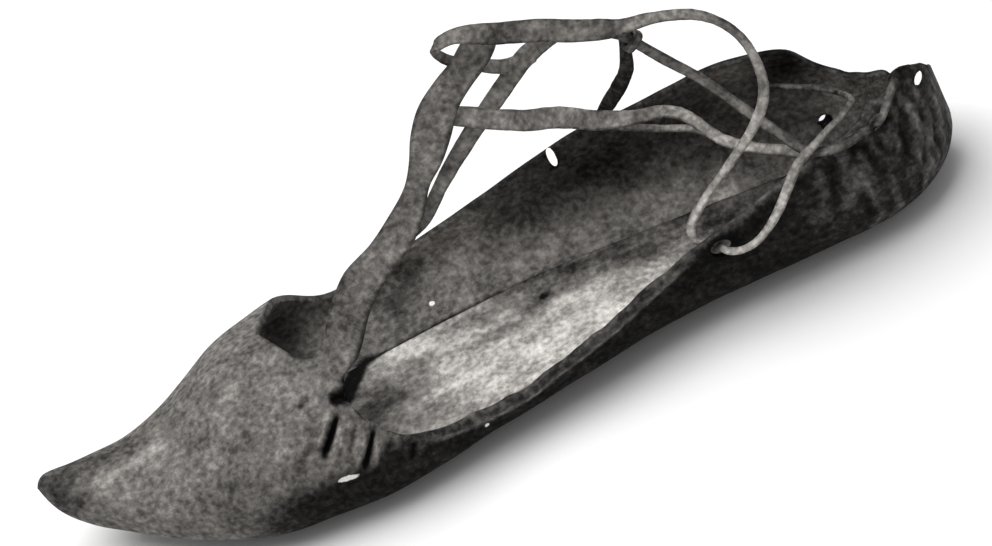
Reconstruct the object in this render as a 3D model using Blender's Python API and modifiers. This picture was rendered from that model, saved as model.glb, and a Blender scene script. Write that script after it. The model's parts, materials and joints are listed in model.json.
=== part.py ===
"""Hide sandal: one skin folded up into sole, walls and toe cap, with its strap and thongs."""
import math
from collections import namedtuple

import bmesh
import bpy
from mathutils import Matrix, Vector

# Driving sizes in millimetres. Stations run along the shoe from the toe tip to the heel.
MM = 0.001
LENGTH = 280.0
HIDE = 2.2
INSOLE = 1.6
THONG = 1.5
GAP = 0.3
THONG_EDGE = 0.45

# How square the lower quarters of a section are, and where the closed toe's two sides meet,
# in degrees up from the far side.
SQUARE = 2.6
SEAM = 72.0
SIDE_POINTS = 14

# Brings the middle of the finished width over the origin.
SHIFT = 2.52

# The heel rounds off in plan and curves up underneath behind these stations.
HEEL_START = 240.0
HEEL_RISE = 248.0
HEEL_CURVE = 16.0

# The insole's ends, the length over which each end rounds off, and its reach to each side
# as a share of the floor's half width.
INSOLE_FRONT = 52.0
INSOLE_BACK = 264.0
INSOLE_ROUND = 30.0
INSOLE_NEAR = 0.8
INSOLE_FAR = 0.45

# The near side is the inner side of the foot.
NEAR = -1
FAR = 1

# Most thongs lie with their flat side up and toward the near side.
FACE = Vector((0.0, -1.0, 1.0)).normalized()

# Sections of the last: centre line, half widths to each side, underside, height of the widest line
# and crown. An underside below nought is pressed flat on the ground.
Section = namedtuple("Section", "station centre near far bottom wide crown")
SECTIONS = (
    Section(0, -3.0, 0.0, 0.0, 31.0, 31.0, 31.0),
    Section(2.5, -3.0, 4.5, 4.6, 22.5, 27.5, 33.0),
    Section(10, -3.0, 8.8, 9.0, 12.5, 19.5, 31.5),
    Section(19, -4.0, 14.0, 13.0, 9.0, 17.0, 30.0),
    Section(28, -5.0, 19.5, 17.0, 6.0, 15.0, 29.0),
    Section(41, -5.0, 27.0, 22.5, 2.5, 13.5, 31.5),
    Section(51, -5.0, 31.5, 28.0, 0.5, 13.0, 36.0),
    Section(61, -4.5, 35.0, 33.0, -0.6, 12.5, 40.0),
    Section(74, -3.5, 37.5, 36.4, -0.8, 12.5, 41.5),
    Section(92, -3.0, 39.4, 39.0, -0.8, 12.5, 44.6),
    Section(110, -2.0, 38.5, 39.4, -0.4, 13.0, 52.0),
    Section(125, -1.0, 37.0, 37.5, 0.6, 14.0, 60.0),
    Section(155, 0.0, 35.0, 34.5, 2.0, 16.5, 72.0),
    Section(191, 0.0, 29.6, 31.5, 0.8, 18.5, 74.0),
    Section(220, 0.0, 29.0, 29.0, -0.6, 19.5, 68.0),
    Section(240, -1.0, 28.0, 26.5, -0.8, 20.0, 60.0),
    Section(260, -2.0, 28.0, 24.5, -0.8, 20.0, 56.0),
    Section(280, -2.5, 28.0, 24.0, -0.8, 21.0, 52.0),
)

# Stations of the closed toe, then the open rows: where each row crosses the sole, and the station
# and angle at which it meets the near and the far rim.
TOE_STATIONS = (0.0, 2.5, 7.5, 15.0, 25.0, 36.0, 47.0, 57.0, 66.0, 74.5)
Row = namedtuple("Row", "sole near_station near_angle far_station far_angle")
OPEN_ROWS = (
    Row(81, 79.5, 98, 79, 61),
    Row(87, 83, 86, 82, 41),
    Row(92, 86.5, 75, 86.5, 21),
    Row(96, 88, 66, 91, 9),
    Row(99, 88.8, 57, 96, 3),
    Row(103, 92, 39, 102, 2),
    Row(109, 99, 21, 109, 3),
    Row(117, 109.5, 11, 118, 4.5),
    Row(127, 122, 5, 128, 6.4),
    Row(139, 135.5, 2, 140, 9),
    Row(152, 149.5, 3.8, 152, 12),
    Row(166, 164, 5.4, 166, 16.3),
    Row(180, 178.5, 8.2, 180, 20.2),
    Row(195, 195, 12.8, 195, 21.2),
    Row(208, 208, 16.8, 208, 24.6),
    Row(219, 219, 21.5, 219, 29.6),
    Row(228, 228, 26, 228, 34.5),
    Row(236, 236, 30, 237, 38),
    Row(243, 243, 34, 245, 34),
    Row(250, 250, 37, 250.5, 16.5),
    Row(257, 257, 44, 257, 7),
    Row(263.5, 263.5, 48, 263.5, 2.5),
    Row(269.5, 269.5, 56.5, 269.5, 3),
    Row(274.5, 274.5, 50.5, 274.5, -13),
    Row(278, 278, 40, 278, -2),
    Row(280, 280, 25, 280, 25),
)

# The instep strap grows out of the near rim between these open rows. Each row gives its middle,
# its width and how far it has turned from the root's line to the direction of STRAP_ACROSS.
STRAP_ROOT = (2, 3, 4)
STRAP_ACROSS = Vector((0.9, -0.385, -0.21)).normalized()
StrapRow = namedtuple("StrapRow", "station y z width turned")
STRAP_ROWS = (
    StrapRow(94, -14, 41, 11.5, 0.6),
    StrapRow(102, -9.4, 49.8, 11.8, 0.9),
    StrapRow(110.7, -5.7, 56.0, 13.6, 1.0),
    StrapRow(120.2, -2.9, 59.5, 12.2, 1.0),
    StrapRow(128.5, 0.2, 65.6, 9.4, 1.0),
    StrapRow(133.2, 2.6, 70.0, 7.2, 1.0),
    StrapRow(138.2, 4.2, 75.4, 9.6, 1.0),
    StrapRow(142.5, 6, 81.8, 11.7, 1.0),
    StrapRow(148, 8, 89.2, 11.7, 1.0),
    StrapRow(155, 10, 93.8, 11.5, 1.0),
    StrapRow(161.5, 12, 96.5, 11.0, 1.0),
    StrapRow(165.5, 13, 100, 10.5, 1.0),
    StrapRow(167.4, 13.6, 102.4, 8.0, 1.0),
)

# Holes through the hide: side, station, height, half length along the wall, half height.
Hole = namedtuple("Hole", "name side station height along up")
HOLES = (
    Hole("near_lace_hole", NEAR, 203.8, 27.8, 3.5, 3.1),
    Hole("far_slot", FAR, 171.5, 29.6, 1.7, 3.1),
    Hole("far_heel_hole", FAR, 247.0, 8.5, 1.9, 1.9),
    Hole("near_heel_hole", NEAR, 258.6, 40.8, 3.2, 2.4),
    Hole("tab_slot", NEAR, 275.0, 40.4, 2.4, 1.6),
)

# Routes of the thongs. A Knot is a point in the air, a WallKnot stands off the hide's outer face.
# turn tips the flat side about the thong's own line, in degrees.
Knot = namedtuple("Knot", "station y z width turn")
WallKnot = namedtuple("WallKnot", "station side height off width turn")
BAND_ROUTE = (
    Knot(178.5, 12.8, 87.7, 4.2, 0),
    Knot(174.4, 13.8, 86.5, 4.6, 0),
    Knot(169.2, 14.0, 87.6, 4.4, 0),
    Knot(162.2, 15.2, 92.0, 3.8, 0),
    Knot(156.8, 17.2, 94.8, 3.3, 0),
    Knot(153.9, 15.8, 101.8, 3.0, 0),
    Knot(155.4, 12.8, 106.8, 3.4, 0),
    Knot(160.0, 11.2, 108.8, 4.4, 0),
    Knot(165.4, 10.8, 106.8, 5.8, 0),
    Knot(171.5, 10.6, 103.4, 6.4, 0),
    Knot(177, 11.0, 100.2, 6.4, 0),
    Knot(184, 11.0, 96.4, 6.6, 0),
    Knot(191, 10.0, 92.6, 6.6, 0),
    Knot(198, 9.0, 89.5, 6.4, 0),
    Knot(204, 7.6, 88.2, 4.6, 0),
    Knot(213, 4.0, 89.6, 3.4, 0),
    Knot(223, -2.0, 90.4, 3.2, 20),
    Knot(230, -7.0, 86.6, 2.8, 30),
    Knot(233.6, -11.0, 79.4, 2.8, 15),
    Knot(233.8, -15.0, 69.8, 3.0, 0),
    Knot(231.0, -17.0, 62.0, 3.3, 0),
    Knot(224.5, -18.5, 54.8, 2.9, 0),
    Knot(214.5, -19.5, 47.2, 2.4, 0),
    Knot(205, -20.6, 40.4, 2.5, 15),
    Knot(198.8, -21.6, 34.5, 2.9, 15),
    Knot(198.4, -22.9, 29.5, 2.6, 0),
    WallKnot(202.2, NEAR, 28.4, -3.4, 2.4, 0),
    WallKnot(203.6, NEAR, 28.0, -1.0, 2.4, 0),
    WallKnot(205.2, NEAR, 27.4, 1.6, 2.3, 0),
    WallKnot(209.0, NEAR, 27.0, 3.2, 2.2, 0),
    WallKnot(214.5, NEAR, 28.9, 4.4, 2.2, 0),
    WallKnot(221.0, NEAR, 33.6, 4.8, 2.6, 0),
    WallKnot(227.5, NEAR, 39.5, 4.4, 3.1, 0),
    Knot(233.0, -27.2, 44.4, 2.6, 0),
    Knot(240.0, -24.6, 46.2, 2.4, 0),
    Knot(247.0, -21.2, 46.8, 2.3, 0),
    Knot(252.6, -17.6, 46.6, 2.1, 0),
    Knot(254.6, -12.6, 44.2, 1.9, 0),
    Knot(252.8, -4.0, 39.6, 1.8, 0),
    Knot(248.0, 6.0, 35.2, 1.8, 0),
    Knot(241.5, 15.0, 31.4, 1.8, 0),
    Knot(235.0, 21.0, 30.6, 1.8, 0),
)
CROSS_ROUTE = (
    Knot(197, 9.3, 88.8, 3.0, 0),
    Knot(203, 8.4, 84.6, 3.0, 0),
    Knot(210.5, 6.0, 72.8, 3.2, 20),
    Knot(218.5, 1.0, 63.0, 3.2, 30),
    Knot(225.5, -7.0, 54.0, 3.2, 25),
    Knot(231.5, -15.0, 47.2, 3.2, 10),
    Knot(236.5, -22.4, 43.2, 3.0, 0),
    WallKnot(241.5, NEAR, 42.2, 1.7, 2.8, 0),
    WallKnot(247.5, NEAR, 41.2, 1.4, 2.8, 0),
    WallKnot(253.0, NEAR, 41.4, 1.4, 2.8, 0),
    WallKnot(255.4, NEAR, 41.6, 1.4, 2.6, 0),
)
RISER_ROUTE = (
    Knot(118.4, -0.4, 55.8, 3.2, 0),
    Knot(125.6, 0.2, 56.6, 3.5, 0),
    Knot(132.0, 1.6, 58.6, 3.8, 0),
    Knot(139.0, 4.2, 64.4, 4.2, 0),
    Knot(149.0, 7.2, 71.5, 5.0, 0),
    Knot(158.5, 9.9, 77.1, 5.3, 0),
    Knot(167.3, 12.2, 82.0, 5.5, 0),
    Knot(177, 12.8, 88.8, 5.8, 0),
    Knot(187, 10.8, 94.0, 5.0, 0),
)
SIDE_ROUTE = (
    Knot(163.0, 14.4, 71.6, 4.4, 0),
    Knot(158.2, 13.6, 74.2, 4.8, 0),
    Knot(153.8, 14.0, 77.0, 5.0, 0),
    Knot(150.6, 12.0, 80.6, 5.2, 0),
    Knot(151.9, 8.4, 82.8, 5.6, 0),
    Knot(156.0, 5.7, 82.3, 6.0, 0),
    Knot(160.4, 5.4, 79.0, 6.0, 0),
    Knot(164.6, 6.8, 74.6, 6.0, 0),
    Knot(169.8, 11.2, 66.8, 6.2, 0),
    Knot(178, 14.6, 59.6, 6.4, 0),
    Knot(188, 16.0, 50.4, 5.8, 0),
    Knot(198, 15.6, 45.8, 4.2, 0),
    Knot(206, 14.6, 44.0, 3.8, 0),
    Knot(211.5, 11.6, 40.8, 3.6, 0),
    Knot(217, 3.0, 36.0, 3.4, 0),
    Knot(225.5, -8.0, 37.2, 3.4, 0),
    Knot(232.0, -16.6, 40.4, 3.2, 0),
    Knot(236.0, -20.6, 39.6, 3.0, 0),
)
SLIT_ROUTE = (
    Knot(186, 16.2, 51.0, 2.6, 0),
    Knot(194, 18.4, 41.5, 2.4, 0),
    Knot(203, 17.6, 35.6, 2.2, 0),
    Knot(211, 12.6, 35.2, 2.2, 0),
    Knot(216.5, 4.2, 36.2, 2.6, 0),
)
TIE_ROUTE = (
    Knot(203.6, 11.0, 81.4, 3.0, 0),
    Knot(203.0, 11.2, 77.4, 3.2, 0),
    Knot(200.8, 12.2, 68.0, 4.2, 0),
    Knot(196.9, 14.6, 60.5, 4.6, 0),
    Knot(193.0, 19.4, 52.1, 4.4, 0),
    Knot(190.6, 21.8, 47.6, 3.8, 0),
    Knot(189.0, 23.0, 44.4, 3.4, 0),
)
HEEL_ROUTE = (
    WallKnot(256.6, NEAR, 38.6, -4.6, 2.2, 0),
    WallKnot(257.8, NEAR, 40.0, -2.6, 2.2, 0),
    WallKnot(258.8, NEAR, 40.9, -0.2, 2.2, 0),
    WallKnot(260.2, NEAR, 42.4, 1.8, 2.3, 0),
    WallKnot(262.4, NEAR, 44.0, 1.7, 2.6, 0),
    WallKnot(265.0, NEAR, 45.6, 1.6, 2.6, 0),
    WallKnot(267.4, NEAR, 47.0, 1.5, 2.0, 0),
)

# Colours of the plain materials.
COLOURS = {
    "hide_body": (0.11, 0.10, 0.09, 1.0),
    "insole": (0.42, 0.40, 0.37, 1.0),
    "instep_band": (0.24, 0.22, 0.20, 1.0),
    "side_strap": (0.19, 0.18, 0.16, 1.0),
    "tie_thong": (0.09, 0.08, 0.075, 1.0),
    "heel_lace": (0.17, 0.16, 0.145, 1.0),
}


def clear_scene():
    for thing in list(bpy.data.objects):
        bpy.data.objects.remove(thing, do_unlink=True)


def smooth(rows, column, at):
    """Value of a table's column at a station, on a curve through the rows."""
    last = len(rows) - 1
    k = 0
    while k < last - 1 and rows[k + 1].station <= at:
        k += 1
    before = rows[max(k - 1, 0)]
    left = rows[k]
    right = rows[k + 1]
    after = rows[min(k + 2, last)]
    span = right.station - left.station
    s = min(max((at - left.station) / span, 0.0), 1.0)
    a = getattr(left, column)
    b = getattr(right, column)
    slope_a = span * (b - getattr(before, column)) / (right.station - before.station)
    slope_b = span * (getattr(after, column) - a) / (after.station - left.station)
    rise = b - a
    square = 3 * rise - 2 * slope_a - slope_b
    cube = slope_a + slope_b - 2 * rise
    return a + s * slope_a + s ** 2 * square + s ** 3 * cube


def quarter(at, start, end):
    """Height of a quarter circle that falls from 1 at start to 0 at end."""
    share = min(max((at - start) / (end - start), 0.0), 1.0)
    return math.sqrt(1.0 - share * share)


def section(at):
    values = {column: smooth(SECTIONS, column, at) for column in Section._fields[1:]}
    plan = quarter(at, HEEL_START, LENGTH)
    values["near"] *= plan
    values["far"] *= plan
    values["bottom"] += HEEL_CURVE * (1.0 - quarter(at, HEEL_RISE, LENGTH))
    return Section(at, **values)


def surface(at, side, angle, inset=0.0):
    """Point on the last: -90 degrees is the sole's middle, 0 the widest line and 90 the crown."""
    form = section(at)
    reach = math.cos(math.radians(angle))
    lift = abs(math.sin(math.radians(angle)))
    half = form.far if side * reach > 0 else form.near
    half = max(half - inset, 0.0)
    power = 2.0 / SQUARE if angle < 0 else 1.0
    y = form.centre + side * math.copysign(abs(reach) ** power, reach) * half
    if angle < 0:
        z = form.wide - (form.wide - form.bottom - inset) * lift ** power
    else:
        z = form.wide + (form.crown - form.wide - inset) * lift
    return Vector((at - LENGTH / 2, y, max(z, inset)))


def wall_angle(at, height):
    form = section(at)
    if height >= form.wide:
        return math.degrees(math.asin(min((height - form.wide) / (form.crown - form.wide), 1.0)))
    depth = (form.wide - height) / (form.wide - form.bottom)
    return -math.degrees(math.asin(min(depth ** (SQUARE / 2.0), 1.0)))


def wall_normal(at, side, height):
    angle = wall_angle(at, height)
    here = surface(at, side, angle)
    along = surface(at + 0.3, side, angle) - here
    up = surface(at, side, angle + 1.0) - here
    normal = along.cross(up).normalized()
    return normal if normal.y * side > 0 else -normal


def on_wall(at, side, height, off):
    return surface(at, side, wall_angle(at, height)) + wall_normal(at, side, height) * off


def make_object(name, mesh, collection):
    data = bpy.data.meshes.new(name)
    mesh.transform(Matrix.Scale(MM, 4) @ Matrix.Translation((0.0, SHIFT, 0.0)))
    mesh.to_mesh(data)
    mesh.free()
    thing = bpy.data.objects.new(name, data)
    collection.objects.link(thing)
    return thing


def paint(thing, colour):
    material = bpy.data.materials.new(thing.name + "_leather")
    material.use_nodes = True
    shader = material.node_tree.nodes["Principled BSDF"]
    shader.inputs["Base Color"].default_value = colour
    shader.inputs["Roughness"].default_value = 0.7
    thing.data.materials.append(material)


def row_line(mesh, row):
    """Points of one row, from the near rim under the sole to the far rim."""
    line = []
    for step in range(-SIDE_POINTS, SIDE_POINTS + 1):
        side = FAR if step > 0 else NEAR
        share = abs(step) / SIDE_POINTS
        rim = row.far_station if step > 0 else row.near_station
        top = row.far_angle if step > 0 else row.near_angle
        at = row.sole + (rim - row.sole) * share ** 2
        line.append(mesh.verts.new(surface(at, side, -90.0 + (top + 90.0) * share)))
    return line


def build_hide(collection):
    mesh = bmesh.new()
    toe = [Row(at, at, 180.0 - SEAM, at, SEAM) for at in TOE_STATIONS]
    lines = [row_line(mesh, row) for row in toe + list(OPEN_ROWS)]
    for front, back in zip(lines, lines[1:]):
        for k in range(len(front) - 1):
            mesh.faces.new((front[k], front[k + 1], back[k + 1], back[k]))
    edge = [lines[len(toe) + k][0] for k in STRAP_ROOT]
    root = (edge[-1].co - edge[0].co).normalized()
    for row in STRAP_ROWS:
        across = root.lerp(STRAP_ACROSS, row.turned).normalized() * row.width / 2
        middle = Vector((row.station - LENGTH / 2, row.y, row.z))
        fresh = [mesh.verts.new(middle + across * k) for k in (-1, 0, 1)]
        for k in range(2):
            mesh.faces.new((edge[k], edge[k + 1], fresh[k + 1], fresh[k]))
        edge = fresh
    bmesh.ops.remove_doubles(mesh, verts=mesh.verts, dist=0.001)
    return make_object("hide_body", mesh, collection)


def build_insole(collection):
    mesh = bmesh.new()
    inset = HIDE + 2 * GAP
    rows = 26
    columns = 8
    lines = []
    for k in range(rows + 1):
        at = INSOLE_FRONT + (INSOLE_BACK - INSOLE_FRONT) * (0.5 - 0.5 * math.cos(math.pi * k / rows))
        front = quarter(INSOLE_FRONT + INSOLE_ROUND - at, 0.0, INSOLE_ROUND)
        back = quarter(at, INSOLE_BACK - INSOLE_ROUND, INSOLE_BACK)
        share = max(front * back, 0.12)
        line = []
        for step in range(-columns, columns + 1):
            side = FAR if step > 0 else NEAR
            reach = share * (INSOLE_FAR if step > 0 else INSOLE_NEAR) * abs(step) / columns
            angle = -math.degrees(math.acos(reach ** (SQUARE / 2.0)))
            line.append(mesh.verts.new(surface(at, side, angle, inset)))
        lines.append(line)
    for front, back in zip(lines, lines[1:]):
        for k in range(len(front) - 1):
            mesh.faces.new((front[k], front[k + 1], back[k + 1], back[k]))
    return make_object("insole", mesh, collection)


def knot_point(knot):
    if isinstance(knot, WallKnot):
        return on_wall(knot.station, knot.side, knot.height, knot.off)
    return Vector((knot.station - LENGTH / 2, knot.y, knot.z))


def curve_point(points, k, s):
    """Point on a smooth curve through the points, at share s of the stretch after point k."""
    before = points[max(k - 1, 0)]
    left = points[k]
    right = points[k + 1]
    after = points[min(k + 2, len(points) - 1)]
    slope_a = (right - before) * 0.5
    slope_b = (after - left) * 0.5
    rise = right - left
    square = rise * 3 - slope_a * 2 - slope_b
    cube = slope_a + slope_b - rise * 2
    return left + slope_a * s + square * s ** 2 + cube * s ** 3


def build_thong(name, route, collection, steps=3):
    """Flat thong with rounded edges along a route. Where it doubles back its flat side keeps its turn."""
    points = [knot_point(knot) for knot in route]
    stops = [(k, step / steps) for k in range(len(points) - 1) for step in range(steps)]
    stops.append((len(points) - 2, 1.0))
    spine = [curve_point(points, k, s) for k, s in stops]
    mesh = bmesh.new()
    rings = []
    before = None
    for n, (k, s) in enumerate(stops):
        tangent = (spine[min(n + 1, len(spine) - 1)] - spine[max(n - 1, 0)]).normalized()
        hint = tangent.cross(FACE)
        if hint.length < 0.45 and before is not None:
            hint = before
        level = (hint - tangent * hint.dot(tangent)).normalized()
        if before is not None and level.dot(before) < 0:
            level = -level
        before = level
        turn = route[k].turn + (route[k + 1].turn - route[k].turn) * s
        across = Matrix.Rotation(math.radians(turn), 3, tangent) @ level
        out = across.cross(tangent)
        half = (route[k].width + (route[k + 1].width - route[k].width) * s) / 2
        flat = half - THONG_EDGE
        thick = THONG / 2
        side = thick - THONG_EDGE
        corners = ((half, -side), (half, side), (flat, thick), (-flat, thick),
                   (-half, side), (-half, -side), (-flat, -thick), (flat, -thick))
        rings.append([mesh.verts.new(spine[n] + across * a + out * b) for a, b in corners])
    for front, back in zip(rings, rings[1:]):
        for k in range(8):
            mesh.faces.new((front[k], back[k], back[k - 7], front[k - 7]))
    mesh.faces.new(rings[0])
    mesh.faces.new(list(reversed(rings[-1])))
    bmesh.ops.recalc_face_normals(mesh, faces=mesh.faces)
    return make_object(name, mesh, collection)


def build_cutter(hole, collection):
    """Oval plug that stands across the wall."""
    middle = on_wall(hole.station, hole.side, hole.height, -HIDE / 2)
    normal = wall_normal(hole.station, hole.side, hole.height)
    up = (Vector((0, 0, 1)) - normal * normal.z).normalized()
    along = up.cross(normal)
    mesh = bmesh.new()
    rings = []
    for depth in (-HIDE * 2, HIDE * 2):
        ring = []
        for k in range(10):
            swing = 2 * math.pi * (k + 0.5) / 10
            spot = along * math.cos(swing) * hole.along + up * math.sin(swing) * hole.up
            ring.append(mesh.verts.new(middle + spot + normal * depth))
        rings.append(ring)
    for k in range(10):
        mesh.faces.new((rings[0][k], rings[0][k - 9], rings[1][k - 9], rings[1][k]))
    mesh.faces.new(rings[0])
    mesh.faces.new(rings[1])
    bmesh.ops.recalc_face_normals(mesh, faces=mesh.faces)
    return make_object(hole.name, mesh, collection)


def thicken(thing, thickness):
    solid = thing.modifiers.new("thickness", "SOLIDIFY")
    solid.thickness = thickness * MM
    solid.offset = -1.0


def combine(thing, other, operation):
    other.hide_render = True
    other.display_type = "WIRE"
    boolean = thing.modifiers.new(other.name, "BOOLEAN")
    boolean.operation = operation
    boolean.solver = "EXACT"
    boolean.object = other


def build():
    clear_scene()
    shoe = bpy.data.collections.new("hide_sandal")
    tools = bpy.data.collections.new("hide_sandal_cutters")
    bpy.context.scene.collection.children.link(shoe)
    bpy.context.scene.collection.children.link(tools)
    root = bpy.data.objects.new("hide_sandal_root", None)
    shoe.objects.link(root)

    hide = build_hide(shoe)
    thicken(hide, HIDE)
    for hole in HOLES:
        combine(hide, build_cutter(hole, tools), "DIFFERENCE")
    insole = build_insole(shoe)
    thicken(insole, INSOLE)

    band = build_thong("instep_band", BAND_ROUTE, shoe)
    combine(band, build_thong("cross_tail", CROSS_ROUTE, tools), "UNION")
    combine(band, build_thong("riser", RISER_ROUTE, tools), "UNION")
    strap = build_thong("side_strap", SIDE_ROUTE, shoe)
    combine(strap, build_thong("slit_tail", SLIT_ROUTE, tools), "UNION")
    tie = build_thong("tie_thong", TIE_ROUTE, shoe)
    lace = build_thong("heel_lace", HEEL_ROUTE, shoe)

    for thing in (hide, insole, band, strap, tie, lace):
        thing.parent = root
        paint(thing, COLOURS[thing.name])


build()
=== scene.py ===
import json
import math
import bpy
import numpy as np
from mathutils import Matrix, Vector, noise

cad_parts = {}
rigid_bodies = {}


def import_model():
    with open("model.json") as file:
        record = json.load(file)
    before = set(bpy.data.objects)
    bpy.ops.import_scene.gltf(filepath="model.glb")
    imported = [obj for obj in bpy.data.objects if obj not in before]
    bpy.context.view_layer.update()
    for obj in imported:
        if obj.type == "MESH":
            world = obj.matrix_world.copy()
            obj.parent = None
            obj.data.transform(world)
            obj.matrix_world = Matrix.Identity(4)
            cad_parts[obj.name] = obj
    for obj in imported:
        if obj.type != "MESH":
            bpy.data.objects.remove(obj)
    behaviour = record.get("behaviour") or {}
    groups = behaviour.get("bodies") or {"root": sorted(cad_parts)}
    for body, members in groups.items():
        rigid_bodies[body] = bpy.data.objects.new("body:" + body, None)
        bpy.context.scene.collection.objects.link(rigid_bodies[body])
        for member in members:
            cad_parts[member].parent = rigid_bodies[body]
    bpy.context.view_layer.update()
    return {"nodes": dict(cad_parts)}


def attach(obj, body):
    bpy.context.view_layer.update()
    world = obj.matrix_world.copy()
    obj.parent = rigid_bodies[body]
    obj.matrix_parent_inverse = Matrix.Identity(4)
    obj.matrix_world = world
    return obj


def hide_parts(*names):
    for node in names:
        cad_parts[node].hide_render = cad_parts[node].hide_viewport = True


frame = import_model()
bpy.context.scene.view_settings.view_transform = "Standard"
mm = 0.001
print("frame loaded:", sorted(frame["nodes"]))

# Camera: the photograph looks down on the inner side with a long lens, its picture turned
cameraSettings = {
    "target": (0.00328, 0.01677, 0.01425),
    "elevation": 45.0,
    "roll": 25.0,
    "distance": 2.6,
    "sensor": 36.0,
    "lens": 330.2,
    "reach": 20.0,
}


def addCamera(s):
    tilt = math.radians(s["elevation"])
    roll = math.radians(s["roll"])
    forward = Vector((0.0, math.cos(tilt), -math.sin(tilt)))
    right = Vector((1.0, 0.0, 0.0))
    up = right.cross(forward)
    pictureRight = right * math.cos(roll) - up * math.sin(roll)
    pictureUp = right * math.sin(roll) + up * math.cos(roll)
    bpy.ops.object.camera_add()
    camera = bpy.context.object
    camera.name = "photoCamera"
    camera.data.sensor_width = s["sensor"]
    camera.data.lens = s["lens"]
    camera.data.clip_end = s["reach"]
    turn = Matrix((pictureRight, pictureUp, -forward)).transposed().to_4x4()
    camera.matrix_world = Matrix.Translation(Vector(s["target"]) - forward * s["distance"]) @ turn
    bpy.context.scene.camera = camera


bpy.ops.object.select_all(action="DESELECT")
addCamera(cameraSettings)
print("camera placed")


# Mesh helpers

def makeActive(piece):
    bpy.ops.object.select_all(action="DESELECT")
    piece.select_set(True)
    bpy.context.view_layer.objects.active = piece


def applyModifier(piece, kind, **values):
    makeActive(piece)
    step = piece.modifiers.new(kind.lower(), kind)
    for key, value in values.items():
        setattr(step, key, value)
    bpy.ops.object.modifier_apply(modifier=step.name)


def readPoints(piece):
    flat = np.zeros(len(piece.data.vertices) * 3)
    piece.data.vertices.foreach_get("co", flat)
    return flat.reshape(-1, 3)


def writePoints(piece, points):
    piece.data.vertices.foreach_set("co", np.asarray(points).ravel())
    piece.data.update()


def readNormals(piece):
    flat = np.zeros(len(piece.data.vertices) * 3)
    piece.data.vertex_normals.foreach_get("vector", flat)
    return flat.reshape(-1, 3)


def readGroup(piece, name):
    index = piece.vertex_groups[name].index
    weights = np.zeros(len(piece.data.vertices))
    for k, vertex in enumerate(piece.data.vertices):
        for entry in vertex.groups:
            if entry.group == index:
                weights[k] = entry.weight
    return weights


def neighbourMean(piece, values):
    pairs = np.zeros(len(piece.data.edges) * 2, dtype=np.int64)
    piece.data.edges.foreach_get("vertices", pairs)
    one, two = pairs.reshape(-1, 2).T
    size = len(values)
    count = np.bincount(one, minlength=size) + np.bincount(two, minlength=size)
    columns = values.reshape(size, -1)
    means = [np.bincount(one, column[two], size) + np.bincount(two, column[one], size)
             for column in columns.T]
    return (np.stack(means, axis=1) / np.maximum(count, 1)[:, None]).reshape(values.shape)


def soften(piece, values, steps):
    for step in range(steps):
        values = 0.5 * values + 0.5 * neighbourMean(piece, values)
    return values


def findEdges(piece, spread, low, high):
    # how much the surface turns round each point: 0 on flats, 1 on cut edges
    turn = 1.0 - np.linalg.norm(soften(piece, readNormals(piece), spread), axis=1)
    return np.clip((turn - low) / (high - low), 0.0, 1.0)


def ease(values, start, end):
    share = np.clip((values - start) / (end - start), 0.0, 1.0)
    return share * share * (3.0 - 2.0 * share)


seedSteps = (13.7, 7.3, 3.1)


def noiseAt(points, size, seed):
    offset = Vector([seed * step for step in seedSteps])
    return np.array([noise.noise(Vector(p) / size + offset) for p in points])


def storeMask(piece, name, values):
    mask = piece.data.attributes.new(name, "FLOAT", "POINT")
    mask.data.foreach_set("value", np.clip(values, 0.0, 1.0))


def curveThrough(keys, rows, at):
    # smooth curve through a table's rows, one column for each quantity
    keys = np.asarray(keys, dtype=float)
    rows = np.asarray(rows, dtype=float)
    at = np.clip(np.atleast_1d(np.asarray(at, dtype=float)), keys[0], keys[-1])
    k = np.clip(np.searchsorted(keys, at, side="right") - 1, 0, len(keys) - 2)
    before = np.maximum(k - 1, 0)
    after = np.minimum(k + 2, len(keys) - 1)
    span = (keys[k + 1] - keys[k])[:, None]
    s = (at - keys[k])[:, None] / span
    slopeA = span * (rows[k + 1] - rows[before]) / (keys[k + 1] - keys[before])[:, None]
    slopeB = span * (rows[after] - rows[k]) / (keys[after] - keys[k])[:, None]
    rise = rows[k + 1] - rows[k]
    bend = 3 * rise - 2 * slopeA - slopeB
    twist = slopeA + slopeB - 2 * rise
    return rows[k] + s * slopeA + s ** 2 * bend + s ** 3 * twist


def lineDistance(points, line, normals=None):
    # distance to a broken line, mostly along the surface where normals are given,
    # and the share of the line's length at the nearest place
    flatten = 0.85
    line = np.array(line, dtype=float)
    spans = np.linalg.norm(np.diff(line, axis=0), axis=1)
    starts = np.concatenate(([0.0], np.cumsum(spans)))
    best = np.full(len(points), 1e9)
    share = np.zeros(len(points))
    for k in range(len(spans)):
        along = (line[k + 1] - line[k]) / spans[k]
        run = np.clip((points - line[k]) @ along, 0.0, spans[k])
        apart = points - line[k] - run[:, None] * along
        if normals is not None:
            off = np.einsum("ij,ij->i", apart, normals)
            apart = apart - flatten * off[:, None] * normals
        gap = np.linalg.norm(apart, axis=1)
        nearer = gap < best
        best[nearer] = gap[nearer]
        share[nearer] = (starts[k] + run[nearer]) / starts[-1]
    return best, share


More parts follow.
